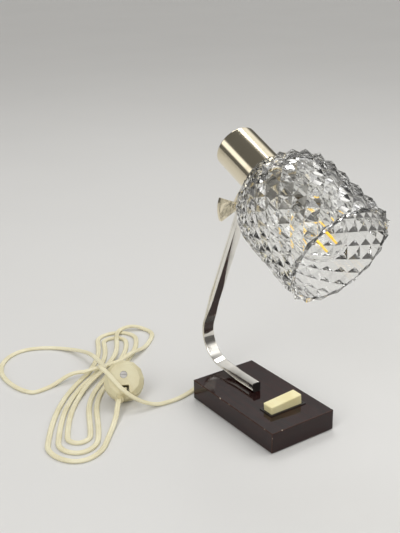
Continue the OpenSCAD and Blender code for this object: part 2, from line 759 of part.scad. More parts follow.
module plug_screw() {
    color([0.6, 0.6, 0.58]) on_plug() translate([0, plug_screw_y, 0]) difference() {
        union() {
            translate([0, 0, plug_screw_low])
                cylinder(r = plug_screw_r, h = plug_t - plug_sunk - plug_screw_low, $fn = 24);
            translate([0, 0, plug_t - plug_sunk]) cylinder(r = plug_head_r, h = plug_head_h, $fn = 24);
        }
        translate([-plug_head_r - 1, -driver_w / 2, plug_t - plug_sunk + plug_head_h - driver_d])
            cube([2 * plug_head_r + 2, driver_w, driver_d + 1]);
    }
}

// Head fork and pivot
eye = [-head_off, -head_back];
ear_step = 1;
ear_lap = 4;
ear_slope = [2, fork_r * 0.95];
module head_fork() {
    color([0.72, 0.69, 0.62]) on_head() difference() {
        union() {
            for (i = [-1, 1]) translate([i * (ear_in + fork_t / 2), 0, 0]) in_yz(fork_t / 2) union() {
                translate(eye) circle(fork_r);
                polygon([
                    eye + [0, -fork_r], [-cup_r - ear_step, saddle_s0], [-cup_r + ear_lap, saddle_s0],
                    [-cup_r + ear_lap, saddle_s1], [-cup_r - ear_step, saddle_s1], eye + ear_slope
                ]);
            }
            intersection() {
                translate([0, 0, saddle_s0]) cylinder(r = cup_r + fork_t, h = saddle_s1 - saddle_s0);
                translate([-ear_out, -2 * cup_r, saddle_s0])
                    cube([2 * ear_out, 2 * cup_r, saddle_s1 - saddle_s0]);
            }
        }
        translate([0, 0, saddle_s0 - 1]) cylinder(r = cup_r + saddle_gap, h = saddle_s1 - saddle_s0 + 2);
        translate([0, eye[0], eye[1]]) rotate([0, 90, 0])
            cylinder(r = pin_r + pin_gap, h = 4 * ear_out, center = true);
        at_rivets() cylinder(r = rivet_r, h = 4 * fork_t, center = true, $fn = 32);
    }
}

rivet_r = 1.5;
rivet_gap = 0.2;
rivet_edge = 3.5;
rivet_head = [2, 2.8];
rivet_head_h = 1;
rivet_tail_r = 2.4;
rivet_tail_h = 0.8;
module at_rivets() {
    for (s = [saddle_s0 + rivet_edge, saddle_s1 - rivet_edge])
        translate([0, -cup_r, s]) rotate([-90, 0, 0]) children();
}

module fork_rivets() {
    color([0.72, 0.69, 0.62]) on_head() at_rivets() union() {
        translate([0, 0, -fork_t - rivet_head_h])
            cylinder(r1 = rivet_head[0], r2 = rivet_head[1], h = rivet_head_h, $fn = 32);
        translate([0, 0, -fork_t - tiny])
            cylinder(r = rivet_r, h = fork_t + cup_wall + rivet_gap + 2 * tiny, $fn = 32);
        translate([0, 0, cup_wall + rivet_gap]) cylinder(r = rivet_tail_r, h = rivet_tail_h, $fn = 32);
    }
}

washer_in_by = 0.8;
module friction_washers() {
    color([0.2, 0.2, 0.2]) on_pivot() for (i = [-1, 1]) translate([0, 0, i * (washer_in + washer_t / 2)])
        difference() {
            cylinder(r = fork_r - washer_in_by, h = washer_t, center = true);
            cylinder(r = pin_r + pin_gap, h = 2 * washer_t, center = true);
        }
}

collar_w = 1.8;
leaf_in = ear_out + face_gap + collar_w;
thumb_collar_r = 4.6;
thumb_boss = [3.6, 2];
thumb_boss_l = 4;
leaf_root = 3;
leaf_corner = 3;
leaf_trim = 0.6;
leaf_far = leaf_reach * 1.2;
dish_r = 30;
dish_in = 7;
shank_in = 2;
shank_out = 4.5;
module thumb_screw() {
    far_half = leaf_far * tan(leaf_angle);
    leaf_h = 2 * leaf_reach * sin(leaf_angle) - leaf_trim;
    color([0.72, 0.69, 0.62]) translate(pivot) union() {
        rotate([0, 90, 0]) translate([0, 0, -ear_out - shank_in])
            cylinder(r = pin_r, h = 2 * ear_out + shank_in + shank_out);
        rotate([0, -90, 0]) translate([0, 0, ear_out + face_gap]) cylinder(r = thumb_collar_r, h = collar_w);
        rotate([0, -90, 0]) translate([0, 0, leaf_in - tiny])
            cylinder(r1 = thumb_boss[0], r2 = thumb_boss[1], h = thumb_boss_l);
        difference() {
            rotate([90, 0, 0]) linear_extrude(leaf_t, center = true) intersection() {
                circle(leaf_reach, $fn = 96);
                polygon([
                    [-leaf_in + tiny, leaf_root], [-leaf_far, far_half],
                    [-leaf_far, -far_half], [-leaf_in + tiny, -leaf_root]
                ]);
                translate([-leaf_reach / 2, 0]) soft_rect(leaf_reach, leaf_h, leaf_corner);
            }
            for (i = [-1, 1]) translate([dish_in - leaf_reach, i * (leaf_t / 2 + dish_r - leaf_dish), 0])
                sphere(dish_r);
        }
    }
}

nut_r = 4.6;
nut_h = 4;
nut_dome = [3.9, 2.2];
nut_dome_h = 2.6;
nut_deep = 5.2;
module pivot_nut() {
    color([0.72, 0.69, 0.62]) translate(pivot + [ear_out, 0, 0]) rotate([0, 90, 0]) difference() {
        union() {
            cylinder(r = nut_r, h = nut_h, $fn = 6);
            translate([0, 0, nut_h - tiny]) cylinder(r1 = nut_dome[0], r2 = nut_dome[1], h = nut_dome_h);
        }
        translate([0, 0, -1]) cylinder(r = pin_r + pin_gap, h = nut_deep + 1);
    }
}

// Cup and lampholder
module cup() {
    e = cup_edge;
    w = cup_wall;
    color([0.72, 0.69, 0.62]) on_head() difference() {
        rotate_extrude() difference() {
            union() {
                translate([0, -cup_l]) square([cup_r - e, e + 1]);
                translate([0, -cup_l + e]) square([cup_r, cup_l - e]);
                translate([cup_r - e, -cup_l + e]) circle(e);
            }
            translate([-1, -cup_l + w]) square([cup_r - e + 1, cup_l]);
            translate([-1, -cup_l + e]) square([cup_r - w + 1, cup_l]);
            translate([cup_r - e, -cup_l + e]) circle(e - w);
            translate([-cup_r, -cup_l - 1]) square([cup_r, cup_l + 2]);
        }
        translate([0, 0, -cup_l - 1]) cylinder(r = holder_screw_r + fit, h = cup_wall + 2, $fn = 32);
        at_rivets() cylinder(r = rivet_r, h = 4 * cup_wall, center = true, $fn = 32);
    }
}

holder_low = -cup_l + cup_wall;
holder_base = 8;
holder_wall = 2.5;
holder_step = 14;
wall_s = 12;
wall_t = 4;
wire_hole_r = 1.2;
wire_hole_s = -18;
contact_r = 1.5;
holder_screw_r = 2;
holder_screw_l = 8;
holder_head_r = 3.6;
holder_head_h = 1.6;
module holder_screw() {
    color([0.6, 0.6, 0.58]) on_head() translate([0, 0, -cup_l]) difference() {
        union() {
            translate([0, 0, -holder_head_h]) cylinder(r = holder_head_r, h = holder_head_h, $fn = 32);
            translate([0, 0, -tiny]) cylinder(r = holder_screw_r, h = holder_screw_l, $fn = 32);
        }
        translate([-holder_head_r - 1, -driver_w / 2, -holder_head_h - 1])
            cube([2 * holder_head_r + 2, driver_w, driver_d + 1]);
    }
}

module lampholder() {
    color([0.85, 0.83, 0.76]) on_head() difference() {
        union() {
            translate([0, 0, holder_low]) cylinder(r = holder_r, h = holder_step - holder_low);
            translate([0, 0, holder_step - tiny]) cylinder(r = sleeve_r, h = sleeve_reach - holder_step);
        }
        translate([0, 0, holder_low + holder_base])
            cylinder(r = holder_r - holder_wall, h = holder_wall - holder_low - holder_base);
        cylinder(r = sleeve_r - holder_wall, h = wall_s);
        translate([0, 0, wall_s + wall_t]) cylinder(r = shell_r + fit, h = sleeve_reach);
        translate([0, 0, wall_s - 1]) cylinder(r = contact_r + fit, h = wall_t + 2, $fn = 32);
        translate([0, 0, holder_low - 1]) cylinder(r = holder_screw_r, h = holder_base + 2, $fn = 32);
        for (i = [-1, 1]) translate([i * holder_r, 0, wire_hole_s]) rotate([0, 90, 0])
            cylinder(r = wire_hole_r, h = 4 * holder_wall, center = true, $fn = 24);
    }
}

shell_gap = 0.25;
shell_wall = 0.65;
shell_r = cap_r + shell_gap + shell_wall;
shell_s = 19;
shell_in = 2;
shell_hole_r = 4;
contact_disc_r = 3.2;
module screw_shell() {
    low = wall_s + wall_t;
    color([0.78, 0.6, 0.25]) on_head() difference() {
        translate([0, 0, low]) cylinder(r = shell_r, h = sleeve_reach - shell_in - low);
        translate([0, 0, low + shell_wall]) cylinder(r = cap_r + shell_gap, h = sleeve_reach);
        translate([0, 0, low - 1]) cylinder(r = shell_hole_r, h = shell_wall + 2);
    }
}

module centre_contact() {
    disc_low = wall_s + wall_t + fit;
    color([0.78, 0.6, 0.25]) on_head() union() {
        translate([0, 0, wall_s - wall_t])
            cylinder(r = contact_r, h = disc_low - wall_s + wall_t + tiny, $fn = 32);
        translate([0, 0, disc_low]) cylinder(r = contact_disc_r, h = shell_s - disc_low);
    }
}

// Shade ring inside the glass, screwed on the lampholder's foot
seat_gap = 0.6;
ring_s = collar_h + seat_gap;
ring_gap = 0.5;
ring_flange = 1.6;
ring_wall = 1.6;
ring_neck = 3.2;
module shade_ring() {
    color([0.72, 0.69, 0.62]) on_head() difference() {
        union() {
            translate([0, 0, ring_s]) cylinder(r = seat_r - ring_gap, h = ring_flange);
            translate([0, 0, ring_s + ring_flange - tiny]) cylinder(r = holder_r + ring_wall, h = ring_neck);
        }
        translate([0, 0, ring_s - 1]) cylinder(r = holder_r + fit, h = ring_flange + ring_neck + 2);
    }
}

// Glass shade: the walk gives place, radius and outward normal; every second crossing stands out as a stud.
function walk(u) = u < dome_len
    ? let(a = dome_a0 - u / dome_r * 180 / PI)
        [dome_at - dome_r * sin(a), dome_in + dome_r * cos(a), -sin(a), cos(a)]
    : let(f = (u - dome_len) / barrel_len) [dome_at + u - dome_len, body_r + flare * f, 0, 1];
cols = 2 * studs_round;
stud_base = 0.1;
function stud_share(w) = min(1, w[1] / body_r + stud_base);
function outer_ring(j) = let(w = walk(walk_len * j / stud_rows)) [
    for (k = [0 : cols - 1])
        let(h = (j > 0 && (j + k) % 2 == 0) ? stud_h * stud_share(w) : 0,
            r = w[1] + h * w[3], s = w[0] + h * w[2], a = 360 * k / cols)
        [r * cos(a), r * sin(a), s]
];
function plain_ring(r, s) = [for (k = [0 : cols - 1]) let(a = 360 * k / cols) [r * cos(a), r * sin(a), s]];
function inner_ring(j) = let(w = walk(walk_len * j / stud_rows))
    plain_ring(w[1] - glass_t * w[3], w[0] - glass_t * w[2]);
hole_r = holder_r + collar_gap;
seat_in = 1.9;
seat_r = collar_r - seat_in;
inner_first = 2;
rim_bead = 0.8;
shade_rings = concat(
    [plain_ring(hole_r, 0), plain_ring(collar_r, 0)],
    [for (j = [0 : stud_rows]) outer_ring(j)],
    [plain_ring(body_r + flare - glass_t / 2, shade_l + rim_bead)],
    [for (j = [stud_rows : -1 : inner_first]) inner_ring(j)],
    [plain_ring(seat_r, ring_s), plain_ring(hole_r, ring_s)]
);
function shade_quad(a, b, k, cross) = let(n = (k + 1) % cols) cross
    ? [[a + k, b + k, a + n], [b + k, b + n, a + n]]
    : [[a + k, b + k, b + n], [a + k, b + n, a + n]];

module glass_shade() {
    m = len(shade_rings);
    pts = [for (r = shade_rings) each r];
    faces = [
        for (i = [0 : m - 1], k = [0 : cols - 1])
            each shade_quad(i * cols, ((i + 1) % m) * cols, k, (i + k) % 2 == 0)
    ];
    color([0.9, 0.95, 0.95, 0.4]) on_head() polyhedron(pts, faces, convexity = 10);
}

// Bulb
neck_s = 46;
cap_tip = [2, 3.4];
cap_tip_h = 1.5;
cap_cone_h = 3;
cap_step = 1;
cap_flare_r = 8.4;
cap_flare_h = 4;
module bulb_cap() {
    cone_low = shell_s + cap_tip_h;
    tube_low = cone_low + cap_cone_h;
    color([0.75, 0.74, 0.7]) on_head() union() {
        translate([0, 0, shell_s + fit]) cylinder(r1 = cap_tip[0], r2 = cap_tip[1], h = cap_tip_h);
        translate([0, 0, cone_low]) cylinder(r1 = cap_tip[1], r2 = cap_r - cap_step, h = cap_cone_h);
        translate([0, 0, tube_low - tiny])
            cylinder(r = cap_r, h = neck_s - cap_flare_h - tube_low + 2 * tiny);
        translate([0, 0, neck_s - cap_flare_h]) cylinder(r1 = cap_r, r2 = cap_flare_r, h = cap_flare_h);
    }
}

globe_neck = 0.36;
globe_side = [0.8, 0.6];
module globe_shape(r, low) {
    intersection() {
        union() {
            translate([0, globe_at]) circle(r, $fn = 96);
            polygon([
                [0, low], [r * globe_neck, low],
                [r * globe_side[0], globe_at - r * globe_side[1]], [0, globe_at]
            ]);
        }
        translate([0, low]) square([2 * r, globe_at + r]);
    }
}

module bulb_globe() {
    color([0.95, 0.95, 0.92, 0.3]) on_head() rotate_extrude() difference() {
        globe_shape(globe_r, neck_s);
        globe_shape(globe_r - globe_t, neck_s + globe_t);
    }
}

strip_low = globe_at - strip_l / 2;
strip_r = 0.9;
strip_wire_r = 0.4;
strip_foot = 1;
stem_top = strip_low + 2 * strip_foot;
stem_r = 2.2;
stem_foot_r = 6;
stem_foot_h = 6;
module bulb_stem() {
    low = neck_s + globe_t;
    color([0.9, 0.92, 0.92, 0.4]) on_head() union() {
        translate([0, 0, low]) cylinder(r1 = stem_foot_r, r2 = stem_r, h = stem_foot_h);
        translate([0, 0, low + stem_foot_h - tiny])
            cylinder(r = stem_r, h = stem_top - low - stem_foot_h + tiny);
    }
}

module bulb_strips() {
    color([1, 0.8, 0.25]) on_head() union() {
        for (a = [0 : 90 : 270]) rotate([0, 0, a]) {
            translate([strip_off, 0, strip_low]) cylinder(r = strip_r, h = strip_l, $fn = 16);
            translate([stem_r, 0, strip_low + strip_foot]) rotate([0, 90, 0])
                cylinder(r = strip_wire_r, h = strip_off - stem_r, $fn = 16);
        }
    }
}

base_block();
felt_pad();
bottom_plate();
bottom_screws();
ballast_plate();
arm_tube();
arm_end_plug();
arm_nut_bar();
arm_screws();
arm_lug();
switch_housing();
switch_terminals();
rocker_pin();
rocker_key();
rocker_contact();
cord_bush();
cord_clamp();
clamp_screws();
cord_lead();
cord_hank();
plug_back();
plug_face();
plug_pins();
plug_screw();
head_fork();
fork_rivets();
friction_washers();
thumb_screw();
pivot_nut();
cup();
holder_screw();
lampholder();
screw_shell();
centre_contact();
shade_ring();
glass_shade();
bulb_cap();
bulb_globe();
bulb_stem();
bulb_strips();
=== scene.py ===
"""Looks of the desk lamp: camera, looped cord, pressed glass, arm, and the finish of every piece."""

import json
import math

import bmesh
import bpy
from mathutils import Matrix, Vector


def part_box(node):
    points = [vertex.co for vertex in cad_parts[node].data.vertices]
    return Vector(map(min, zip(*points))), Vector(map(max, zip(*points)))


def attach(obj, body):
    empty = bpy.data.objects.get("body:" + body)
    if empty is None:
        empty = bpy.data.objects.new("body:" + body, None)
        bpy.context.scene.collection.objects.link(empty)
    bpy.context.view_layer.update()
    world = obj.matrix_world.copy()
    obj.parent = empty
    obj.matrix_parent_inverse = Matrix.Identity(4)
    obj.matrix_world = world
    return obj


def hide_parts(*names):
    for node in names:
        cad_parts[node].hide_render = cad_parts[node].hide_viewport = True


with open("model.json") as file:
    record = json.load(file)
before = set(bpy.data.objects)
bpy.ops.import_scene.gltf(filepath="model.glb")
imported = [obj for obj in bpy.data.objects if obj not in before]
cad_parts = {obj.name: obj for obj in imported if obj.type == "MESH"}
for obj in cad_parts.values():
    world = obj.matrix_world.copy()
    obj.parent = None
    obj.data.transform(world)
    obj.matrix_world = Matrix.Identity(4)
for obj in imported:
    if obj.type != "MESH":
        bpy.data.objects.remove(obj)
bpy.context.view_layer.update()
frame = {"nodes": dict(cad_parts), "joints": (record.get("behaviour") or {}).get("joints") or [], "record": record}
scene = bpy.context.scene
UP = Vector((0, 0, 1))

# Camera of the photograph: place in metres, angles in degrees, focal length in pixels of the image
IMAGE_HEIGHT_PX = 533
FOCAL_PX = 900
SENSOR_MM = 36
CAMERA_PLACE = Vector((-0.4524, -0.5762, 0.4330))
CAMERA_YAW = -33.9
CAMERA_DIP = 21.3
CAMERA_ROLL = -1.1

# Arm tube, in metres: nearly square in its foot and its upper part, flattened in the bend
BASE_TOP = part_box("base_block")[1].z
ARM_W, ARM_T = 0.008, 0.009
BEND_W, BEND_T = 0.0115, 0.005
ARM_WALL = 0.001
ARM_LEAN = math.radians(24)
BEND_R = 0.025
BEND_Y = 0.0575
BEND_LEN = BEND_R * (math.pi / 2 + ARM_LEAN)
FOOT_L, STRAIGHT_L = 0.050, 0.023
UP_EASE, UPPER_L = 0.030, 0.131
CORNER_OUT, CORNER_IN = 0.0013, 0.0005
CORNER_POINTS = 6
ARM_CUTS = 90
ARM_END_CUT = 0.0004

# Head frame: local Z runs along the axis to the mouth of the shade, local Y away from the pivot
HEAD_TILT = math.radians(24.3)
HEAD_OFF, HEAD_BACK = 0.0405, 0.014
PIVOT = Vector(next(j["pos_m"] for j in frame["joints"] if j["name"] == "head_tilt"))
HEAD_Y = Vector((0, -math.sin(HEAD_TILT), math.cos(HEAD_TILT)))
HEAD_Z = Vector((0, -math.cos(HEAD_TILT), -math.sin(HEAD_TILT)))
HEAD_AT = PIVOT + HEAD_OFF * HEAD_Y + HEAD_BACK * HEAD_Z
HEAD_TURN = Matrix((Vector((1, 0, 0)), HEAD_Y, HEAD_Z)).transposed()
HEAD = Matrix.Translation(HEAD_AT) @ HEAD_TURN.to_4x4()

# Glass shade, in metres: a collar, a dome and a slightly flared barrel, with rows of studs
SHADE_L = 0.103
COLLAR_R, BODY_R, FLARE = 0.021, 0.045, 0.001
DOME_R, DOME_TOP = 0.038, 0.002
DOME_AT = DOME_R + DOME_TOP
DOME_IN = BODY_R - DOME_R
DOME_TURN = math.acos((COLLAR_R - DOME_IN) / DOME_R)
DOME_LEN = DOME_R * DOME_TURN
STUD_H, DOME_STUD_GAIN = 0.003, 0.1
STUDS_ROUND, STUD_ROWS = 18, 13
GLASS_T = 0.0036
HOLE_R, SEAT_R, SEAT_GAP = 0.0146, 0.0191, 0.0006
RIM_BEAD, RIM_STEPS = 0.0009, 6
WORN_W, WORN_STEPS, WORN_ANGLE = 0.00045, 2, math.radians(14)
WELD = 0.00001

# Cord, in metres: flat twin, its free route and the loops of the pile
CORD_W, CORD_T = 0.005, 0.0028
CORE_TURN, CORE_POINTS = 140, 11
CORD_FLOOR = 0.00145
CORD_STEP = 0.0022
CURVE_STEPS = 3
LEAD_ROUTE = [
    (0, 0.040, 0.0085), (0, 0.052, 0.0085), (0, 0.064, 0.0085), (-0.003, 0.071, 0.007),
    (-0.011, 0.075, 0.005), (-0.022, 0.073, 0.003), (-0.034, 0.070, 0.0015), (-0.048, 0.067, 0.0015),
    (-0.060, 0.067, 0.0015), (-0.071, 0.068, 0.0025), (-0.082, 0.071, 0.0065), (-0.092, 0.0765, 0.013),
    (-0.098, 0.084, 0.019), (-0.102, 0.092, 0.0255), (-0.105, 0.100, 0.032), (-0.107, 0.109, 0.035),
    (-0.104, 0.118, 0.0315), (-0.097, 0.128, 0.024), (-0.088, 0.139, 0.017),
]
TAIL_ROUTE = [(-0.136, 0.046, 0.0015), (-0.125, 0.0575, 0.0028), (-0.115, 0.0685, 0.0065)]
WAIST = Vector((-0.084, 0.150))
LAYER = 0.0034
LOOP_RISE = 0.12
LOOP_POINTS = 60
LAST_LOOP_END = 0.67
WAIST_BEND = 0.07
# Where the first loop comes down from the pile, and the stretch on each side over which it is let down
DROP_AT, DROP_REACH, DROP_ROUNDS = 0.23, 0.080, 160
# Slow bow of the whole pile, along X and along Y
BOW_H = (0.006, -0.006)
BOW_LEN = (0.150, 0.150)
# Each loop: heading, length, radius of its far end, offset at the waist before and after,
# and its raised stretches with their middle, half length and height
LOOPS = [
    (131, 0.110, 0.050, 0, 0, [(0, 0.28, 3 * LAYER), (1, 0.24, 2 * LAYER)]),
    (42, 0.112, 0.019, 0, 0.0032, [(0, 0.26, 2 * LAYER), (0.78, 0.36, LAYER)]),
    (229, 0.126, 0.010, 0.0032, 0.0032, [(0, 0.17, LAYER)]),
    (56, 0.091, 0.011, 0.0032, 0.0094, []),
    (229, 0.141, 0.0175, 0.0094, 0.0094, []),
    (54, 0.104, 0.0195, 0.0094, 0.017, []),
    (229, 0.153, 0.026, 0.017, 0.017, []),
]

# Plug: it lies on its rim and its pin tips, and the cord enters on the bevel of its back
PLUG_R, PLUG_T = 0.0192, 0.016
PIN_L, PIN_R = 0.019, 0.0024
PLUG_GAP = 0.00005
PLUG_LEAN = math.atan(PIN_L / (PLUG_R - PIN_R))
PLUG_TURN = math.radians(-28)
PLUG_AT = Vector((-0.086, 0.1045, PLUG_R * math.sin(PLUG_LEAN) + PLUG_GAP))
PLUG_POSE = Matrix.Rotation(PLUG_TURN, 4, "Z") @ Matrix.Rotation(PLUG_LEAN, 4, "X")
PLUG = Matrix.Translation(PLUG_AT) @ PLUG_POSE
BEVEL_TURN = math.radians(45)
ENTRY_TURN = math.radians(255)
ENTRY_IN, ENTRY_DOWN = 0.002, 0.00225
BOSS_L = 0.005
ENTRY_OUTS = (0.009, 0, -0.003)

# Studio: the floor's half side, the lamps, and the bright fields of the room by their direction
FLOOR_HALF = 6.0
FLOOR_TONES = ((0.68, 0.675, 0.66, 1), (0.72, 0.715, 0.70, 1))
LAMP_AIM = Vector((0, 0, 0.12))
# Each lamp: name, place, size and power in watts
LAMPS = [
    ("key_lamp", (-1.0, -0.5, 1.1), (0.5, 0.9), 6.0),
    ("fill_lamp", (1.1, -0.5, 0.7), (0.5, 0.9), 3.0),
    ("back_lamp", (0.3, 0.7, 1.5), (0.9, 0.5), 6.0),
]
ROOM_DARK, ROOM_BRIGHT = (0.10, 0.098, 0.095, 1), (1.0, 0.99, 0.97, 1)
ROOM_STRENGTH = 1.3
BACKDROP = (0.52, 0.515, 0.50, 1)
LEFT_STRIP_MIDDLE, LEFT_STRIP_HALF, LEFT_STRIP_CORE = 0.38, 0.20, 0.4
LEFT_STRIP_SIDE = (0.35, 0.6)
RIGHT_BANK_SIDE, RIGHT_BANK_HEIGHT, RIGHT_BANK_SHARE = (0.10, 0.50), (0.34, 0.60), 0.75
FRONT_BANK_SIDE, FRONT_BANK_HEIGHT = (0.0, 0.4), (0.45, 0.75)


# Small helpers


def ease(x):
    """Smooth rise from 0 at 0 to 1 at 1, level at both ends."""
    c = max(0.0, min(1.0, x))
    return c * c * (3 - 2 * c)


def mix(a, b, t):
    """The value that share of the way from a to b."""
    return a + (b - a) * t


def swell(x):
    """Rise from 0 to 1 that starts straight and ends level."""
    return mix(x, ease(x), x)


def curve_through(points):
    """Points along a smooth curve through the given ones, with a few steps between each two."""
    last = len(points) - 1
    line = []
    for i in range(last):
        a, b, c, d = (points[max(0, min(last, i + k))] for k in (-1, 0, 1, 2))
        square = 2 * a - 5 * b + 4 * c - d
        cube = 3 * b - a - 3 * c + d
        for k in range(CURVE_STEPS):
            t = k / CURVE_STEPS
            line.append(0.5 * (2 * b + (c - a) * t + square * t**2 + cube * t**3))
    return line + [points[last]]


def add_piece(name, points, faces):
    """A smooth mesh object at the origin, with its place in its points."""
    mesh = bpy.data.meshes.new(name)
    mesh.from_pydata([tuple(p) for p in points], [], faces)
    mesh.update()
    mesh.polygons.foreach_set("use_smooth", [True] * len(mesh.polygons))
    piece = bpy.data.objects.new(name, mesh)
    scene.collection.objects.link(piece)
    return piece


def strip_faces(first, second, count):
    """Quads between two rings of points, given by the number of their first point."""
    faces = []
    for i in range(count):
        after = (i + 1) % count
        faces.append((first + i, first + after, second + after, second + i))
    return faces


def recalculate_normals(piece):
    """Turns the faces of a closed piece outwards."""
    work = bmesh.new()
    work.from_mesh(piece.data)
    bmesh.ops.recalc_face_normals(work, faces=work.faces)
    work.to_mesh(piece.data)
    work.free()


# Camera


def make_camera():
    yaw, dip, roll = (math.radians(v) for v in (CAMERA_YAW, CAMERA_DIP, CAMERA_ROLL))
    back = Vector((math.sin(yaw) * math.cos(dip), -math.cos(yaw) * math.cos(dip), math.sin(dip)))
    right = (-back).cross(UP).normalized()
    top = right.cross(-back)
    across = math.cos(roll) * right + math.sin(roll) * top
    upright = math.cos(roll) * top - math.sin(roll) * right
    data = bpy.data.cameras.new("camera")
    data.sensor_width = SENSOR_MM
    data.lens = FOCAL_PX * SENSOR_MM / IMAGE_HEIGHT_PX
    camera = bpy.data.objects.new("camera", data)
    scene.collection.objects.link(camera)
    turn = Matrix((across, upright, back)).transposed().to_4x4()
    camera.matrix_world = Matrix.Translation(CAMERA_PLACE) @ turn
    scene.camera = camera


# Cord


def loop_point(loop, t):
    """Point of a loop at that share of its run, from the waist out, round its far end and back."""
    heading, length, tip, before, after, raised = loop
    turn = math.pi * (3 * t - 1.5)
    if t < 1 / 3:
        along, side = (length - tip) * 3 * t, -mix(before, tip, swell(3 * t))
    elif t < 2 / 3:
        along, side = length - tip + tip * math.cos(turn), tip * math.sin(turn)
    else:
        along, side = (length - tip) * (3 - 3 * t), mix(after, tip, swell(3 - 3 * t))
    u = Vector((math.cos(math.radians(heading)), math.sin(math.radians(heading))))
    v = Vector((-u.y, u.x))
    place = WAIST + along * u + side * v
    off = place - WAIST
    place.x += BOW_H[0] * math.sin(math.tau * off.y / BOW_LEN[0])
    place.y += BOW_H[1] * math.sin(math.tau * off.x / BOW_LEN[1])
    height = sum(h * ease((half - abs(t - middle)) / LOOP_RISE) for middle, half, h in raised)
    return Vector((place.x, place.y, CORD_FLOOR + height))


def pile_points():
    """Points of all the loops, with the two sharp turns at the waist left to the curve."""
    points = []
    for k, loop in enumerate(LOOPS):
        first = WAIST_BEND if k < 2 else 0
        last = 1
        if k == 0:
            last = 1 - WAIST_BEND
        elif k == len(LOOPS) - 1:
            last = LAST_LOOP_END
        shares = [(i + 0.5) / LOOP_POINTS for i in range(LOOP_POINTS)]
        points += [loop_point(loop, t) for t in shares if first < t < last]
    return points


def entry_point(out):
    """A point on the cord's way into the plug, that far out of the bevel."""
    r = PLUG_R - ENTRY_IN + out * math.sin(BEVEL_TURN)
    z = PLUG_T - ENTRY_DOWN + out * math.cos(BEVEL_TURN)
    return PLUG @ Vector((r * math.cos(ENTRY_TURN), r * math.sin(ENTRY_TURN), z))


def even_line(line):
    """The same line with its points one step apart."""
    total = sum((b - a).length for a, b in zip(line, line[1:]))
    step = total / round(total / CORD_STEP)
    even, left = [line[0]], step
    for a, b in zip(line, line[1:]):
        span = (b - a).length
        while span >= left and len(even) * step < total - step / 2:
            a = a.lerp(b, left / span)
            even.append(a)
            span = (b - a).length
            left = step
        left -= span
    return even + [line[-1]]


def soften_drop(line):
    """The line with a longer way down where the first loop comes off the pile."""
    drop = loop_point(LOOPS[0], DROP_AT)
    middle = min(range(len(line)), key=lambda i: (line[i] - drop).length)
    reach = round(DROP_REACH / CORD_STEP)
    for _ in range(DROP_ROUNDS):
        eased = list(line)
        for i in range(middle - reach, middle + reach + 1):
            share = 0.5 * ease(1 - abs(i - middle) / reach)
            eased[i] = line[i].lerp((line[i - 1] + line[i + 1]) / 2, share)
        line = eased
    return line


def cord_line():
    """Points of the whole cord: the lead, the pile of loops and the tail into the plug."""
    lead = curve_through([Vector(p) for p in LEAD_ROUTE])
    pile = pile_points()
    into_plug = [entry_point(BOSS_L + out) for out in ENTRY_OUTS]
    tail = curve_through([pile[-1]] + [Vector(p) for p in TAIL_ROUTE] + into_plug)
    return soften_drop(even_line(curve_through(lead + pile + tail[1:])))


def twin_section():
    """Outline of the flat twin cord: two round cores with a groove between them."""
    core = CORD_T / 2
    middle = CORD_W / 2 - core
    step = 2 * CORE_TURN / (CORE_POINTS - 1)
    turns = [math.radians(step * i - CORE_TURN) for i in range(CORE_POINTS)]
    right = [(middle + core * math.cos(a), core * math.sin(a)) for a in turns]
    return right + [(-x, -y) for x, y in right]


def make_cord():
    """The cord's piece and the line that it follows."""
    line = cord_line()
    section = twin_section()
    count = len(section)
    points, faces = [], []
    for i, p in enumerate(line):
        ahead = (line[min(i + 1, len(line) - 1)] - line[max(i - 1, 0)]).normalized()
        side = ahead.cross(UP).normalized()
        top = side.cross(ahead)
        points += [p + x * side + y * top for x, y in section]
    for i in range(len(line) - 1):
        faces += strip_faces(i * count, (i + 1) * count, count)
    faces.append(tuple(reversed(range(count))))
    faces.append(tuple(range((len(line) - 1) * count, len(line) * count)))
    cord = add_piece("cord", points, faces)
    recalculate_normals(cord)
    return cord, line


# Arm tube


def arm_front(d):
    """Point of the tube's front line at that length, and the direction across the tube from it."""
    top = BASE_TOP + ARM_T
    centre = Vector((0, BEND_Y, top + BEND_R))
    if d < FOOT_L:
        return Vector((0, BEND_Y - FOOT_L + d, top)), Vector((0, 0, -1))
    angle = min(d - FOOT_L, BEND_LEN) / BEND_R - math.pi / 2
    out = Vector((0, math.cos(angle), math.sin(angle)))
    along = Vector((0, -math.sin(angle), math.cos(angle)))
    return centre + BEND_R * out + max(0, d - FOOT_L - BEND_LEN) * along, out


def flat_share(d):
    """How far the tube is flattened at that length: 0 in its straight parts and 1 in the bend."""
    flattened = ease((d - STRAIGHT_L) / (FOOT_L - STRAIGHT_L))
    return flattened * ease((FOOT_L + BEND_LEN + UP_EASE - d) / UP_EASE)


def arm_ring(d, wall):
    """Ring of the tube's outer skin, or of its inner skin at that depth of wall."""
    front, out = arm_front(d)
    half = mix(ARM_W, BEND_W, flat_share(d)) / 2 - wall
    depth = mix(ARM_T, BEND_T, flat_share(d))
    corner = CORNER_IN if wall else CORNER_OUT
    centres = [(half - corner, wall + corner, -90), (half - corner, depth - wall - corner, 0)]
    centres += [(-x, y, turn + 180) for x, y, turn in reversed(centres)]
    ring = []
    for x, y, turn in centres:
        for step in range(CORNER_POINTS):
            a = math.radians(turn + 90 * step / (CORNER_POINTS - 1))
            across = Vector((x + corner * math.cos(a), 0, 0))
            ring.append(front + across + (y + corner * math.sin(a)) * out)
    return ring


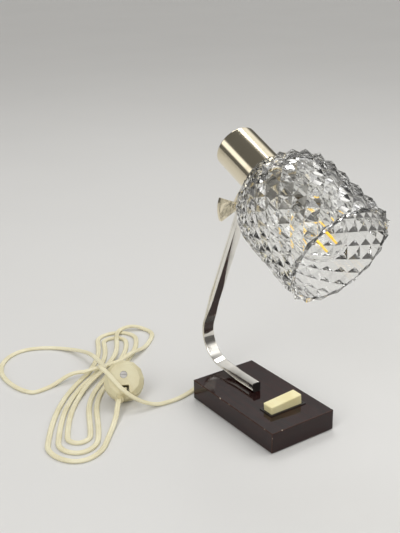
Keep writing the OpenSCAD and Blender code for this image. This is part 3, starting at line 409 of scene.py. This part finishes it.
def make_arm():
    curved = FOOT_L + BEND_LEN + UP_EASE - STRAIGHT_L
    bent_cuts = [STRAIGHT_L + curved * i / ARM_CUTS for i in range(ARM_CUTS + 1)]
    cuts = [0, ARM_END_CUT] + bent_cuts + [FOOT_L + BEND_LEN + UPPER_L]
    rings = [arm_ring(d, 0) for d in cuts] + [arm_ring(d, ARM_WALL) for d in reversed(cuts)]
    count = len(rings[0])
    points = [p for ring in rings for p in ring]
    faces = []
    for i in range(len(rings)):
        faces += strip_faces(i * count, (i + 1) % len(rings) * count, count)
    arm = add_piece("arm", points, faces)
    recalculate_normals(arm)
    arm.modifiers.new("even_gloss", "WEIGHTED_NORMAL")
    return arm


# Formulas in node trees


class Wire:
    """A socket of a node tree that can be added, multiplied and so on, each step making a math node."""

    def __init__(self, tree, socket):
        self.tree = tree
        self.socket = socket

    def math(self, operation, *others):
        node = self.tree.nodes.new("ShaderNodeMath")
        node.operation = operation
        for socket, value in zip(node.inputs, (self, *others)):
            join(socket, value)
        return Wire(self.tree, node.outputs[0])

    def __add__(self, other):
        return self.math("ADD", other)

    def __sub__(self, other):
        return self.math("SUBTRACT", other)

    def __rsub__(self, other):
        return self.math("MULTIPLY_ADD", -1.0, other)

    def __mul__(self, other):
        return self.math("MULTIPLY", other)

    def __truediv__(self, other):
        return self.math("DIVIDE", other)

    def __mod__(self, other):
        return self.math("FLOORED_MODULO", other)


def join(socket, value):
    """Feeds an input socket from a wire, or sets a plain value on it."""
    if isinstance(value, Wire):
        value.tree.links.new(value.socket, socket)
    else:
        socket.default_value = value


def add_node(tree, kind, feeds=None, **settings):
    """A node with its settings, and with its input sockets fed by name or number."""
    node = tree.nodes.new(kind)
    for name, value in settings.items():
        setattr(node, name, value)
    for name, value in (feeds or {}).items():
        join(node.inputs[name], value)
    return node


def split(tree, vector):
    """The three parts of a vector."""
    node = add_node(tree, "ShaderNodeSeparateXYZ", {0: vector})
    return [Wire(tree, out) for out in node.outputs]


def new_group(name, kind, inputs, outputs):
    """A node group with named sockets: the tree, its input wires and the inputs of its output node."""
    tree = bpy.data.node_groups.new(name, kind)
    for side, sockets in (("INPUT", inputs), ("OUTPUT", outputs)):
        for label, value in sockets.items():
            tree.interface.new_socket(label, in_out=side, socket_type="NodeSocket" + value)
    given = {s.name: Wire(tree, s) for s in add_node(tree, "NodeGroupInput").outputs if s.name}
    return tree, given, add_node(tree, "NodeGroupOutput").inputs


# Pressed glass shade


def shade_walk(length):
    """Radius, place and outward direction at that length along the shade: its dome, then its barrel."""
    if length < DOME_LEN:
        a = DOME_TURN - length / DOME_R
        r = DOME_IN + DOME_R * math.cos(a)
        return r, DOME_AT - DOME_R * math.sin(a), math.cos(a), -math.sin(a)
    run = length - DOME_LEN
    return BODY_R + FLARE * run / (SHADE_L - DOME_AT), DOME_AT + run, 1.0, 0.0


def shade_profile():
    """Rows of the shade over its outside, its rim and its inside: radius, place, direction and stud."""
    walk_len = DOME_LEN + SHADE_L - DOME_AT
    stations = [shade_walk(walk_len * j / STUD_ROWS) for j in range(STUD_ROWS + 1)]
    seat = stations[0][1] + SEAT_GAP
    rows = [(HOLE_R, 0, 0, -1, 0), (COLLAR_R, 0, 0, -1, 0)]
    for j, (r, s, out_r, out_s) in enumerate(stations):
        stud = STUD_H * min(1, r / BODY_R + DOME_STUD_GAIN) if j else 0
        rows.append((r, s, out_r, out_s, stud))
    for i in range(1, RIM_STEPS):
        a = math.pi * i / RIM_STEPS
        r = BODY_R + FLARE - GLASS_T / 2 * (1 - math.cos(a))
        rows.append((r, SHADE_L + RIM_BEAD * math.sin(a), 0, 1, 0))
    for r, s, out_r, out_s in reversed(stations[2:]):
        rows.append((r - GLASS_T * out_r, s - GLASS_T * out_s, -out_r, -out_s, 0))
    rows += [(SEAT_R, seat, 0, 1, 0), (HOLE_R, seat, 0, 1, 0), (HOLE_R, 0, 0, -1, 0)]
    return rows


def pressed_glass_tree():
    """Turns a profile round its axis and raises every second crossing of rows and columns as a stud."""
    tree, given, out = new_group(
        "pressed_glass",
        "GeometryNodeTree",
        {"Profile": "Geometry", "Columns": "Int", "Weld": "Float", "Glass": "Material"},
        {"Shade": "Geometry"},
    )
    size = add_node(tree, "GeometryNodeAttributeDomainSize", {"Geometry": given["Profile"]})
    rows = Wire(tree, size.outputs["Point Count"])
    columns = given["Columns"]
    index = Wire(tree, add_node(tree, "GeometryNodeInputIndex").outputs[0])
    grid = add_node(tree, "GeometryNodeMeshGrid", {"Vertices X": columns + 1.0, "Vertices Y": rows})
    row = index % rows
    column = (index / rows).math("FLOOR")

    def sampled(value, kind):
        feeds = {"Geometry": given["Profile"], "Value": value, "Index": row}
        return Wire(tree, add_node(tree, "GeometryNodeSampleIndex", feeds, data_type=kind).outputs[0])

    def stored(name, kind):
        node = add_node(tree, "GeometryNodeInputNamedAttribute", {"Name": name}, data_type=kind)
        return Wire(tree, node.outputs["Attribute"])

    place = sampled(Wire(tree, add_node(tree, "GeometryNodeInputPosition").outputs[0]), "FLOAT_VECTOR")
    radius, along, _ = split(tree, place)
    out_r, out_s, _ = split(tree, sampled(stored("out", "FLOAT_VECTOR"), "FLOAT_VECTOR"))
    height = sampled(stored("stud", "FLOAT"), "FLOAT") * (1.0 - (row + column) % 2.0)
    radius = radius + height * out_r
    along = along + height * out_s
    angle = column / columns * math.tau
    point = add_node(
        tree,
        "ShaderNodeCombineXYZ",
        {"X": radius * angle.math("COSINE"), "Y": radius * angle.math("SINE"), "Z": along},
    )
    turned = add_node(
        tree,
        "GeometryNodeSetPosition",
        {"Geometry": Wire(tree, grid.outputs["Mesh"]), "Position": Wire(tree, point.outputs[0])},
    )
    face_rows = rows - 1.0
    odd = (index % face_rows + (index / face_rows).math("FLOOR")) % 2.0
    skin = Wire(tree, turned.outputs[0])
    for method, chosen in (("FIXED", odd), ("FIXED_ALTERNATE", 1.0 - odd)):
        feeds = {"Mesh": skin, "Selection": chosen}
        cut = add_node(tree, "GeometryNodeTriangulate", feeds, quad_method=method)
        skin = Wire(tree, cut.outputs[0])
    welded = add_node(tree, "GeometryNodeMergeByDistance", {"Geometry": skin, "Distance": given["Weld"]})
    whole = add_node(tree, "GeometryNodeRealizeInstances", {"Geometry": Wire(tree, welded.outputs[0])})
    coated = add_node(
        tree,
        "GeometryNodeSetMaterial",
        {"Geometry": Wire(tree, whole.outputs[0]), "Material": given["Glass"]},
    )
    join(out["Shade"], Wire(tree, coated.outputs[0]))
    return tree


def grown(piece, tree, inputs):
    """Runs a geometry tree on a piece and leaves the result as its plain mesh."""
    modifier = piece.modifiers.new(tree.name, "NODES")
    modifier.node_group = tree
    for item in tree.interface.items_tree:
        if item.in_out == "INPUT" and item.name in inputs:
            modifier[item.identifier] = inputs[item.name]
    piece.update_tag()
    made = piece.evaluated_get(bpy.context.evaluated_depsgraph_get())
    mesh = bpy.data.meshes.new_from_object(made)
    piece.modifiers.remove(modifier)
    piece.data = mesh
    mesh.name = piece.name


def make_shade(glass):
    """The shade: its outer studs have flat faces and worn edges, and its inner wall is smooth."""
    rows = shade_profile()
    shade = add_piece("shade", [(r, s, 0) for r, s, *_ in rows], [])
    stored = shade.data.attributes
    stored.new("out", "FLOAT_VECTOR", "POINT")
    stored.new("stud", "FLOAT", "POINT")
    stored["out"].data.foreach_set("vector", [v for row in rows for v in (row[2], row[3], 0)])
    stored["stud"].data.foreach_set("value", [row[4] for row in rows])
    grown(shade, pressed_glass_tree(), {"Columns": 2 * STUDS_ROUND, "Weld": WELD, "Glass": glass})
    shade.data.transform(HEAD)
    recalculate_normals(shade)
    for face in shade.data.polygons:
        inward = (face.center - HEAD_AT).cross(HEAD_Z).cross(HEAD_Z)
        face.use_smooth = face.normal.dot(inward) > 0
    bevel = shade.modifiers.new("worn_points", "BEVEL")
    bevel.width = WORN_W
    bevel.segments = WORN_STEPS
    bevel.limit_method = "ANGLE"
    bevel.angle_limit = WORN_ANGLE
    bevel.harden_normals = True
    return shade


# Shared surface effects


def object_place(tree):
    """Place on the piece, in metres of the shared frame."""
    return Wire(tree, add_node(tree, "ShaderNodeTexCoord").outputs["Object"])


def noise(tree, scale, detail=4.0, roughness=0.55, place=None):
    """Soft random pattern from 0 to 1."""
    feeds = {
        "Vector": place or object_place(tree),
        "Scale": scale,
        "Detail": detail,
        "Roughness": roughness,
    }
    return Wire(tree, add_node(tree, "ShaderNodeTexNoise", feeds).outputs["Fac"])


def rise(tree, value, low, high):
    """0 below low, 1 above high and smooth between them."""
    feeds = {"Value": value, "From Min": low, "From Max": high}
    node = add_node(tree, "ShaderNodeMapRange", feeds, interpolation_type="SMOOTHSTEP")
    return Wire(tree, node.outputs[0])


def blend_colours(tree, share, first, second):
    """The colour that share of the way from the first to the second."""
    node = add_node(tree, "ShaderNodeMix", data_type="RGBA")
    join(node.inputs[0], share)
    join(node.inputs[6], first)
    join(node.inputs[7], second)
    return Wire(tree, node.outputs[2])


def smudges_group():
    """Patches left by hands: roughness that goes from clean to smudged."""
    tree, given, out = new_group(
        "smudges",
        "ShaderNodeTree",
        {"Scale": "Float", "Clean": "Float", "Smudged": "Float"},
        {"Roughness": "Float", "Mask": "Float"},
    )
    broad = rise(tree, noise(tree, given["Scale"], detail=5.0, roughness=0.6), low=0.45, high=0.68)
    fine = noise(tree, given["Scale"] * 9.0, detail=3.0)
    mask = broad * (fine * 0.6 + 0.5)
    join(out["Roughness"], given["Clean"] + (given["Smudged"] - given["Clean"]) * mask)
    join(out["Mask"], mask)
    return tree


def turned_rings_group():
    """Fine rings of polishing round the head's axis."""
    across = 0.02
    tree, given, out = new_group(
        "turned_rings", "ShaderNodeTree", {"Fineness": "Float"}, {"Height": "Float"}
    )
    feeds = {"Vector": object_place(tree), "Rotation": (-HEAD_TILT, 0, 0)}
    turned = add_node(tree, "ShaderNodeMapping", feeds)
    x, y, z = split(tree, Wire(tree, turned.outputs[0]))
    line = add_node(tree, "ShaderNodeCombineXYZ", {"X": x * across, "Y": y, "Z": z * across})
    place = Wire(tree, line.outputs[0])
    join(out["Height"], noise(tree, given["Fineness"], detail=3.0, roughness=0.7, place=place))
    return tree


def edge_chips_group():
    """Small chips along the edges of a block with that middle and half size."""
    tree, given, out = new_group(
        "edge_chips",
        "ShaderNodeTree",
        {"Middle": "Vector", "Half size": "Vector", "Reach": "Float", "Scale": "Float"},
        {"Mask": "Float", "Near edge": "Float"},
    )

    def vector_math(operation, *values):
        node = add_node(tree, "ShaderNodeVectorMath", dict(enumerate(values)), operation=operation)
        return Wire(tree, node.outputs[0])

    offset = vector_math("SUBTRACT", object_place(tree), given["Middle"])
    inset = vector_math("SUBTRACT", given["Half size"], vector_math("ABSOLUTE", offset))
    x, y, z = split(tree, inset)
    second = x.math("MINIMUM", y).math("MAXIMUM", x.math("MAXIMUM", y).math("MINIMUM", z))
    near = 1.0 - rise(tree, second, low=given["Reach"] * 0.35, high=given["Reach"])
    spots = rise(tree, noise(tree, given["Scale"], detail=2.0), low=0.63, high=0.66)
    join(out["Mask"], near * spots)
    join(out["Near edge"], near)
    return tree


def settled_dust_group():
    """Specks and a thin film of dust on what faces up."""
    tree, given, out = new_group(
        "settled_dust", "ShaderNodeTree", {"Scale": "Float", "Film": "Float"}, {"Mask": "Float"}
    )
    normal = Wire(tree, add_node(tree, "ShaderNodeNewGeometry").outputs["Normal"])
    upward = rise(tree, split(tree, normal)[2], low=0.55, high=0.95)
    specks = rise(tree, noise(tree, given["Scale"], detail=2.0), low=0.70, high=0.74)
    clouds = rise(tree, noise(tree, given["Scale"] * 0.03, detail=4.0), low=0.35, high=0.75)
    film = clouds * given["Film"]
    join(out["Mask"], upward * (specks * 0.35 + film).math("MINIMUM", 1.0))
    return tree


def moulding_group():
    """Soft unevenness of moulded plastic: a fine grain and a slow change of tone."""
    tree, given, out = new_group(
        "moulding",
        "ShaderNodeTree",
        {"Grain": "Float", "Patch": "Float"},
        {"Height": "Float", "Tone": "Float"},
    )
    join(out["Height"], noise(tree, given["Grain"], detail=3.0))
    join(out["Tone"], rise(tree, noise(tree, given["Patch"], detail=3.0), low=0.35, high=0.68))
    return tree


SMUDGES = smudges_group()
TURNED_RINGS = turned_rings_group()
EDGE_CHIPS = edge_chips_group()
SETTLED_DUST = settled_dust_group()
MOULDING = moulding_group()


class Finish:
    """A material with one Principled shader, whose plain values are set on the shader's own sockets."""

    def __init__(self, name, **plain):
        self.material = bpy.data.materials.new(name)
        self.material.use_nodes = True
        self.tree = self.material.node_tree
        self.shader = self.tree.nodes["Principled BSDF"]
        self.output = self.tree.nodes["Material Output"]
        for label, value in plain.items():
            self.set(label.replace("_", " "), value)

    def set(self, label, value):
        join(self.shader.inputs[label], value)

    def effect(self, group, **values):
        """The outputs of a shared effect that is placed in this material with its own values."""
        node = add_node(self.tree, "ShaderNodeGroup", node_tree=group)
        for label, value in values.items():
            join(node.inputs[label.replace("_", " ")], value)
        return {s.name: Wire(self.tree, s) for s in node.outputs}

    def smudge(self, scale, clean, smudged):
        """Sets the roughness to the smudges of hands, and gives their mask."""
        hands = self.effect(SMUDGES, Scale=scale, Clean=clean, Smudged=smudged)
        self.set("Roughness", hands["Roughness"])
        return hands["Mask"]

    def bump(self, height, strength, distance):
        feeds = {"Strength": strength, "Distance": distance, "Height": height}
        self.set("Normal", Wire(self.tree, add_node(self.tree, "ShaderNodeBump", feeds).outputs[0]))


# Finishes, one for each material slot of the record


def lacquer():
    """Dark lacquer over a wood grain, with chipped and worn edges, dust and smudges."""
    deep, reddish = (0.008, 0.0017, 0.0014, 1), (0.024, 0.0045, 0.0034, 1)
    worn_brown, bare_wood = (0.09, 0.045, 0.03, 1), (0.50, 0.41, 0.32, 1)
    dust_grey = (0.45, 0.43, 0.40, 1)
    grain_across, grain_along = 9.0, 0.8
    low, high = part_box("base_block")
    middle, half_size = tuple((low + high) / 2), tuple((high - low) / 2)
    finish = Finish("lacquer", Specular_IOR_Level=0.34)
    tree = finish.tree
    x, y, z = split(tree, object_place(tree))
    stretch = {"X": x * grain_across, "Y": y * grain_along, "Z": z * grain_across}
    grain_place = Wire(tree, add_node(tree, "ShaderNodeCombineXYZ", stretch).outputs[0])
    grain = noise(tree, 30.0, detail=6.0, roughness=0.6, place=grain_place)
    wood = blend_colours(tree, rise(tree, grain, low=0.3, high=0.75), deep, reddish)
    chips = finish.effect(EDGE_CHIPS, Middle=middle, Half_size=half_size, Reach=0.0011, Scale=150.0)
    dust = finish.effect(SETTLED_DUST, Scale=2600.0, Film=0.025)
    worn = blend_colours(tree, chips["Near edge"] * 0.35, wood, worn_brown)
    chipped = blend_colours(tree, chips["Mask"], worn, bare_wood)
    finish.set("Base Color", blend_colours(tree, dust["Mask"] * 0.5, chipped, dust_grey))
    hands = finish.effect(SMUDGES, Scale=16.0, Clean=0.07, Smudged=0.20)
    finish.set("Roughness", hands["Roughness"] + chips["Mask"] * 0.5)
    finish.bump(chips["Mask"], strength=0.4, distance=0.0004)
    return finish.material


def felt():
    """Black felt with loose fibres."""
    dark, light = (0.012, 0.012, 0.012, 1), (0.05, 0.05, 0.048, 1)
    finish = Finish("felt", Roughness=0.95, Sheen_Weight=0.3)
    fibres = noise(finish.tree, 1400.0, detail=6.0, roughness=0.7)
    finish.set("Base Color", blend_colours(finish.tree, fibres, dark, light))
    finish.bump(fibres, strength=0.5, distance=0.0005)
    return finish.material


def plated(name, bright, dull, clean, smudged, rings=0.0):
    """Bright plated metal with smudges, and with rings of polishing where rings isn't 0."""
    finish = Finish(name, Metallic=1.0)
    hands = finish.smudge(38.0, clean, smudged)
    finish.set("Base Color", blend_colours(finish.tree, hands, bright, dull))
    if rings:
        height = finish.effect(TURNED_RINGS, Fineness=2600.0)["Height"]
        finish.bump(height, strength=rings, distance=0.00004)
    else:
        finish.bump(noise(finish.tree, 700.0, detail=3.0), strength=0.04, distance=0.0002)
    return finish.material


def raw_metal(name, light, dark, rough):
    """Plain metal of inner parts and screws, with a fine uneven surface."""
    finish = Finish(name, Metallic=1.0)
    patch = noise(finish.tree, 240.0, detail=5.0, roughness=0.6)
    finish.set("Base Color", blend_colours(finish.tree, patch, dark, light))
    finish.smudge(60.0, rough, rough + 0.18)
    finish.bump(patch, strength=0.1, distance=0.0003)
    return finish.material


def moulded(name, colour, aged, clean, smudged, grain=0.06, **plain):
    """Moulded plastic with a slow change of tone and a fine grain."""
    finish = Finish(name, **plain)
    mould = finish.effect(MOULDING, Grain=1500.0, Patch=45.0)
    finish.set("Base Color", blend_colours(finish.tree, mould["Tone"], colour, aged))
    finish.smudge(50.0, clean, smudged)
    finish.bump(mould["Height"], strength=grain, distance=0.0002)
    return finish.material


def clear_glass(name, tint, wave, wave_scale, smudged):
    """Clear glass with a faint wave, which lets lamp light through to what is behind it."""
    finish = Finish(name, Base_Color=tint, IOR=1.5, Transmission_Weight=1.0)
    tree = finish.tree
    finish.smudge(30.0, 0.0, smudged)
    finish.bump(noise(tree, wave_scale, detail=2.0), strength=wave, distance=0.0003)
    through = add_node(tree, "ShaderNodeBsdfTransparent", {"Color": tint})
    path = add_node(tree, "ShaderNodeLightPath")
    choice = add_node(tree, "ShaderNodeMixShader", {0: Wire(tree, path.outputs["Is Shadow Ray"])})
    tree.links.new(finish.shader.outputs[0], choice.inputs[1])
    tree.links.new(through.outputs[0], choice.inputs[2])
    tree.links.new(choice.outputs[0], finish.output.inputs["Surface"])
    return finish.material


def light_strip():
    """Yellow light strip of the bulb, with small beads and a faint painted glow: the bulb is off, and the emission
    only makes the strips look bright.
    """
    amber, yellow = (0.85, 0.48, 0.02, 1), (0.98, 0.68, 0.06, 1)
    # Painted glow: emission on the strips of a bulb that is switched off
    finish = Finish("light_strip", Roughness=0.45, Emission_Strength=0.35)
    beads = noise(finish.tree, 900.0, detail=2.0)
    colour = blend_colours(finish.tree, beads, amber, yellow)
    finish.set("Base Color", colour)
    finish.set("Emission Color", colour)
    finish.bump(beads, strength=0.3, distance=0.0003)
    return finish.material


FINISHES = {
    "lacquer": lacquer(),
    "felt": felt(),
    "steel_plate": raw_metal(
        "steel_plate", light=(0.50, 0.50, 0.49, 1), dark=(0.36, 0.36, 0.35, 1), rough=0.32
    ),
    "ballast": raw_metal(
        "ballast", light=(0.16, 0.16, 0.16, 1), dark=(0.08, 0.08, 0.08, 1), rough=0.6
    ),
    "screw_steel": raw_metal(
        "screw_steel", light=(0.40, 0.39, 0.37, 1), dark=(0.26, 0.25, 0.24, 1), rough=0.28
    ),
    "chrome": plated(
        "chrome",
        bright=(0.87, 0.85, 0.80, 1),
        dull=(0.74, 0.71, 0.65, 1),
        clean=0.05,
        smudged=0.16,
    ),
    "black_plastic": moulded(
        "black_plastic",
        colour=(0.012, 0.011, 0.011, 1),
        aged=(0.028, 0.024, 0.022, 1),
        clean=0.30,
        smudged=0.45,
    ),
    "nickel": plated(
        "nickel",
        bright=(0.86, 0.78, 0.60, 1),
        dull=(0.72, 0.64, 0.46, 1),
        clean=0.10,
        smudged=0.20,
        rings=0.2,
    ),
    "fibre": moulded(
        "fibre",
        colour=(0.05, 0.04, 0.035, 1),
        aged=(0.09, 0.07, 0.06, 1),
        clean=0.75,
        smudged=0.85,
        grain=0.3,
    ),
    "ivory": moulded(
        "ivory",
        colour=(0.90, 0.83, 0.50, 1),
        aged=(0.84, 0.75, 0.41, 1),
        clean=0.30,
        smudged=0.42,
        Coat_Weight=0.15,
    ),
    "brass": raw_metal(
        "brass", light=(0.80, 0.60, 0.25, 1), dark=(0.58, 0.40, 0.14, 1), rough=0.25
    ),
    "cord_pvc": moulded(
        "cord_pvc",
        colour=(0.82, 0.77, 0.56, 1),
        aged=(0.74, 0.68, 0.46, 1),
        clean=0.42,
        smudged=0.55,
        grain=0.05,
    ),
    "plug_cream": moulded(
        "plug_cream",
        colour=(0.74, 0.69, 0.47, 1),
        aged=(0.66, 0.59, 0.37, 1),
        clean=0.34,
        smudged=0.46,
    ),
    "holder_body": moulded(
        "holder_body",
        colour=(0.16, 0.155, 0.14, 1),
        aged=(0.11, 0.105, 0.095, 1),
        clean=0.5,
        smudged=0.6,
    ),
    "shade_glass": clear_glass(
        "shade_glass", tint=(0.98, 0.98, 0.965, 1), wave=0.012, wave_scale=260.0, smudged=0.03
    ),
    "bulb_glass": clear_glass(
        "bulb_glass", tint=(0.99, 0.99, 0.985, 1), wave=0.02, wave_scale=120.0, smudged=0.04
    ),
    "light_strip": light_strip(),
}
NODE_SLOTS = {part["node"]: part["material_slot"] for part in frame["record"]["subparts"]}


def dress(piece, slot):
    """Gives all the material slots of a piece the finish of that name."""
    if not piece.material_slots:
        piece.data.materials.append(None)
    for place in piece.material_slots:
        place.material = FINISHES[slot]


# Studio: a pale floor, three soft lamps and a dim room with bright fields for the metal and glass


def make_floor():
    corners = [(x * FLOOR_HALF, y * FLOOR_HALF, 0) for x, y in ((-1, -1), (1, -1), (1, 1), (-1, 1))]
    floor = add_piece("floor", corners, [(0, 1, 2, 3)])
    finish = Finish("pale_floor", Roughness=0.6)
    tone = noise(finish.tree, 3.0, detail=3.0)
    finish.set("Base Color", blend_colours(finish.tree, tone, *FLOOR_TONES))
    floor.data.materials.append(finish.material)


def make_lamp(name, place, size, power):
    data = bpy.data.lights.new(name, "AREA")
    data.shape = "RECTANGLE"
    data.size, data.size_y = size
    data.energy = power
    lamp = bpy.data.objects.new(name, data)
    scene.collection.objects.link(lamp)
    lamp.location = place
    lamp.rotation_mode = "QUATERNION"
    lamp.rotation_quaternion = (LAMP_AIM - Vector(place)).to_track_quat("-Z", "Y")


def make_world():
    """The room: bright fields to the left, right and front, and a pale backdrop for the camera alone."""
    world = bpy.data.worlds.new("studio")
    world.use_nodes = True
    scene.world = world
    tree = world.node_tree
    sky = add_node(tree, "ShaderNodeTexCoord")
    x, y, z = split(tree, Wire(tree, sky.outputs["Generated"]))
    off_strip = (z - LEFT_STRIP_MIDDLE).math("ABSOLUTE")
    strip_core = LEFT_STRIP_HALF * LEFT_STRIP_CORE
    in_strip = 1.0 - rise(tree, off_strip, strip_core, LEFT_STRIP_HALF)
    left_strip = in_strip * rise(tree, x * -1.0, *LEFT_STRIP_SIDE)
    right_bank = rise(tree, x, *RIGHT_BANK_SIDE) * rise(tree, z, *RIGHT_BANK_HEIGHT)
    front_bank = rise(tree, y * -1.0, *FRONT_BANK_SIDE) * rise(tree, z, *FRONT_BANK_HEIGHT)
    share = (left_strip + right_bank * RIGHT_BANK_SHARE + front_bank).math("MINIMUM", 1.0)
    light = blend_colours(tree, share, ROOM_DARK, ROOM_BRIGHT)
    seen = Wire(tree, add_node(tree, "ShaderNodeLightPath").outputs["Is Camera Ray"])
    back = tree.nodes["Background"]
    join(back.inputs["Color"], blend_colours(tree, seen, light, BACKDROP))
    join(back.inputs["Strength"], ROOM_STRENGTH)


def make_studio():
    scene.view_settings.view_transform = "Standard"
    make_floor()
    make_world()
    for lamp in LAMPS:
        make_lamp(*lamp)


make_camera()
make_studio()
for node, piece in frame["nodes"].items():
    dress(piece, NODE_SLOTS[node])

cord, line = make_cord()
dress(cord, "cord_pvc")
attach(cord, "stand")
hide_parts("cord_lead", "cord_hank")

arm = make_arm()
dress(arm, "chrome")
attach(arm, "stand")
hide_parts("arm_tube")

shade = make_shade(FINISHES["shade_glass"])
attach(shade, "head")
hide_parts("glass_shade")
